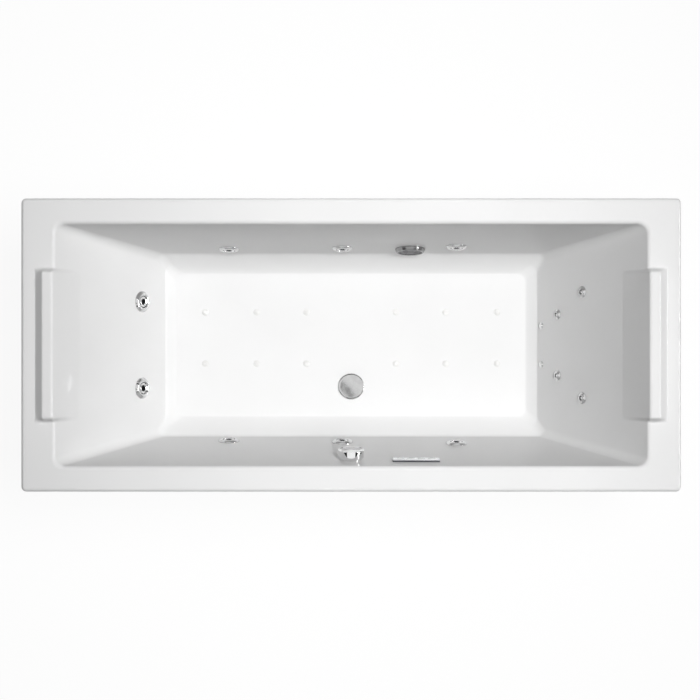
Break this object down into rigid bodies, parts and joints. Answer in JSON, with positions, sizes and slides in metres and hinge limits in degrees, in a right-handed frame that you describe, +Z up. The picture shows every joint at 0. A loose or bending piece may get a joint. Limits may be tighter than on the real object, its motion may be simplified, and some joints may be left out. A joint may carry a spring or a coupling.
{
  "type": "jetted bathtub",
  "caption": "Rectangular built-in jetted bath with sloping backrests at both ends, moulded headrests, chrome jets, floor air injectors, pop-up waste, pump, blower and support frame",
  "frame": {"origin": "on the floor under the middle of the bath, at the height of the feet", "axes": "+X along the bath towards the end with the small jets, +Y towards the long side without the overflow knob, +Z up"},
  "size_m": [1.8, 0.8, 0.622],
  "materials": {
    "acrylic": "gloss",
    "chrome": "polished",
    "dark_plastic": "matte",
    "rubber": "matte",
    "grey_pvc": "satin",
    "white_pvc": "satin",
    "hose": "satin",
    "panel_silver": "satin",
    "button_grey": "gloss",
    "galvanised": "satin",
    "timber": "raw",
    "chipboard": "raw",
    "pump_plastic": "satin",
    "motor_paint": "gloss"
  },
  "bodies": {
    "bath": {"air_injector_bodies": "grey_pvc", "air_injector_caps": "chrome", "air_manifold": "grey_pvc", "base_boards": "chipboard", "bath_shell": "acrylic", "blower_housing": "pump_plastic", "bowden_cable": "rubber", "cable_gland": "dark_plastic", "control_box": "dark_plastic", "control_panel": "panel_silver", "equipment_shelves": "galvanised", "foot_locknuts": "galvanised", "frame_cross_rails": "galvanised", "frame_long_rails": "galvanised", "frame_uprights": "galvanised", "injector_hoses": "hose", "jet_air_pipes": "hose", "jet_bezels": "chrome", "jet_bodies": "grey_pvc", "jet_gaskets": "rubber", "mini_jet_bezels": "chrome", "mini_jet_bodies": "grey_pvc", "overflow_base": "chrome", "overflow_body": "grey_pvc", "overflow_pipe": "white_pvc", "panel_housing": "grey_pvc", "pressure_pipes": "white_pvc", "pump_motor": "motor_paint", "pump_volute": "pump_plastic", "rim_battens": "timber", "small_jet_pipes": "white_pvc", "suction_body": "grey_pvc", "suction_grille": "dark_plastic", "suction_pipe": "white_pvc", "suction_ring": "chrome", "waste_flange": "chrome", "waste_outlet_pipe": "white_pvc", "waste_trap": "grey_pvc"},
    "nozzle_back_1": {"jet_nozzle_back_1": "chrome"},
    "nozzle_back_2": {"jet_nozzle_back_2": "chrome"},
    "nozzle_back_3": {"jet_nozzle_back_3": "chrome"},
    "nozzle_front_1": {"jet_nozzle_front_1": "chrome"},
    "nozzle_front_2": {"jet_nozzle_front_2": "chrome"},
    "nozzle_front_3": {"jet_nozzle_front_3": "chrome"},
    "nozzle_end_1": {"jet_nozzle_end_1": "chrome"},
    "nozzle_end_2": {"jet_nozzle_end_2": "chrome"},
    "knob": {"overflow_knob": "chrome"},
    "plug": {"waste_plug": "chrome"},
    "button_1": {"panel_button_1": "button_grey"},
    "button_2": {"panel_button_2": "button_grey"},
    "button_3": {"panel_button_3": "button_grey"},
    "button_4": {"panel_button_4": "button_grey"},
    "foot_1_body": {"foot_1": "galvanised"},
    "foot_2_body": {"foot_2": "galvanised"},
    "foot_3_body": {"foot_3": "galvanised"},
    "foot_4_body": {"foot_4": "galvanised"},
    "foot_5_body": {"foot_5": "galvanised"},
    "foot_6_body": {"foot_6": "galvanised"},
    "impeller": {"pump_impeller": "dark_plastic"},
    "fan": {"blower_fan": "dark_plastic"}
  },
  "joints": [
    {"name": "tilt_back_1", "type": "hinge", "parent": "bath", "child": "nozzle_back_1", "pos_m": [-0.359, 0.28449, 0.2847], "axis": [1, 0, 0], "range_deg": [-15, 15]},
    {"name": "tilt_back_2", "type": "hinge", "parent": "bath", "child": "nozzle_back_2", "pos_m": [-0.026, 0.28649, 0.2977], "axis": [1, 0, 0], "range_deg": [-15, 15]},
    {"name": "tilt_back_3", "type": "hinge", "parent": "bath", "child": "nozzle_back_3", "pos_m": [0.307, 0.28988, 0.3197], "axis": [1, 0, 0], "range_deg": [-15, 15]},
    {"name": "tilt_front_1", "type": "hinge", "parent": "bath", "child": "nozzle_front_1", "pos_m": [-0.359, -0.28449, 0.2847], "axis": [-1, 0, 0], "range_deg": [-15, 15]},
    {"name": "tilt_front_2", "type": "hinge", "parent": "bath", "child": "nozzle_front_2", "pos_m": [-0.026, -0.28649, 0.2977], "axis": [-1, 0, 0], "range_deg": [-15, 15]},
    {"name": "tilt_front_3", "type": "hinge", "parent": "bath", "child": "nozzle_front_3", "pos_m": [0.307, -0.28988, 0.3197], "axis": [-1, 0, 0], "range_deg": [-15, 15]},
    {"name": "tilt_end_1", "type": "hinge", "parent": "bath", "child": "nozzle_end_1", "pos_m": [-0.61684, 0.127, 0.28096], "axis": [0, 1, 0], "range_deg": [-15, 15]},
    {"name": "tilt_end_2", "type": "hinge", "parent": "bath", "child": "nozzle_end_2", "pos_m": [-0.61684, -0.127, 0.28096], "axis": [0, 1, 0], "range_deg": [-15, 15]},
    {"name": "knob_turn", "type": "hinge", "parent": "bath", "child": "knob", "pos_m": [0, -0.31792, 0.515], "axis": [0, 0.9884, 0.1521], "range_deg": [0, 90]},
    {"name": "plug_lift", "type": "slide", "parent": "bath", "child": "plug", "axis": [0, 0, 1], "range_m": [0, 0.01]},
    {"name": "press_1", "type": "slide", "parent": "bath", "child": "button_1", "axis": [0, -0.9884, -0.1521], "range_m": [0, 0.0008], "stiffness_N_per_m": 600, "springref_m": -0.0006},
    {"name": "press_2", "type": "slide", "parent": "bath", "child": "button_2", "axis": [0, -0.9884, -0.1521], "range_m": [0, 0.0008], "stiffness_N_per_m": 600, "springref_m": -0.0006},
    {"name": "press_3", "type": "slide", "parent": "bath", "child": "button_3", "axis": [0, -0.9884, -0.1521], "range_m": [0, 0.0008], "stiffness_N_per_m": 600, "springref_m": -0.0006},
    {"name": "press_4", "type": "slide", "parent": "bath", "child": "button_4", "axis": [0, -0.9884, -0.1521], "range_m": [0, 0.0008], "stiffness_N_per_m": 600, "springref_m": -0.0006},
    {"name": "foot_1_height", "type": "slide", "parent": "bath", "child": "foot_1_body", "axis": [0, 0, -1], "range_m": [-0.01, 0.01]},
    {"name": "foot_2_height", "type": "slide", "parent": "bath", "child": "foot_2_body", "axis": [0, 0, -1], "range_m": [-0.01, 0.01]},
    {"name": "foot_3_height", "type": "slide", "parent": "bath", "child": "foot_3_body", "axis": [0, 0, -1], "range_m": [-0.01, 0.01]},
    {"name": "foot_4_height", "type": "slide", "parent": "bath", "child": "foot_4_body", "axis": [0, 0, -1], "range_m": [-0.01, 0.01]},
    {"name": "foot_5_height", "type": "slide", "parent": "bath", "child": "foot_5_body", "axis": [0, 0, -1], "range_m": [-0.01, 0.01]},
    {"name": "foot_6_height", "type": "slide", "parent": "bath", "child": "foot_6_body", "axis": [0, 0, -1], "range_m": [-0.01, 0.01]},
    {"name": "pump_spin", "type": "hinge", "parent": "bath", "child": "impeller", "pos_m": [-0.75, 0.08, 0.2], "axis": [0, 1, 0], "continuous": true},
    {"name": "blower_spin", "type": "hinge", "parent": "bath", "child": "fan", "pos_m": [0.75, 0, 0.17], "axis": [0, 0, 1], "continuous": true}
  ],
  "couplings": [
    {"joint": "plug_lift", "follows": "knob_turn", "m_per_rad": 0.00636}
  ]
}
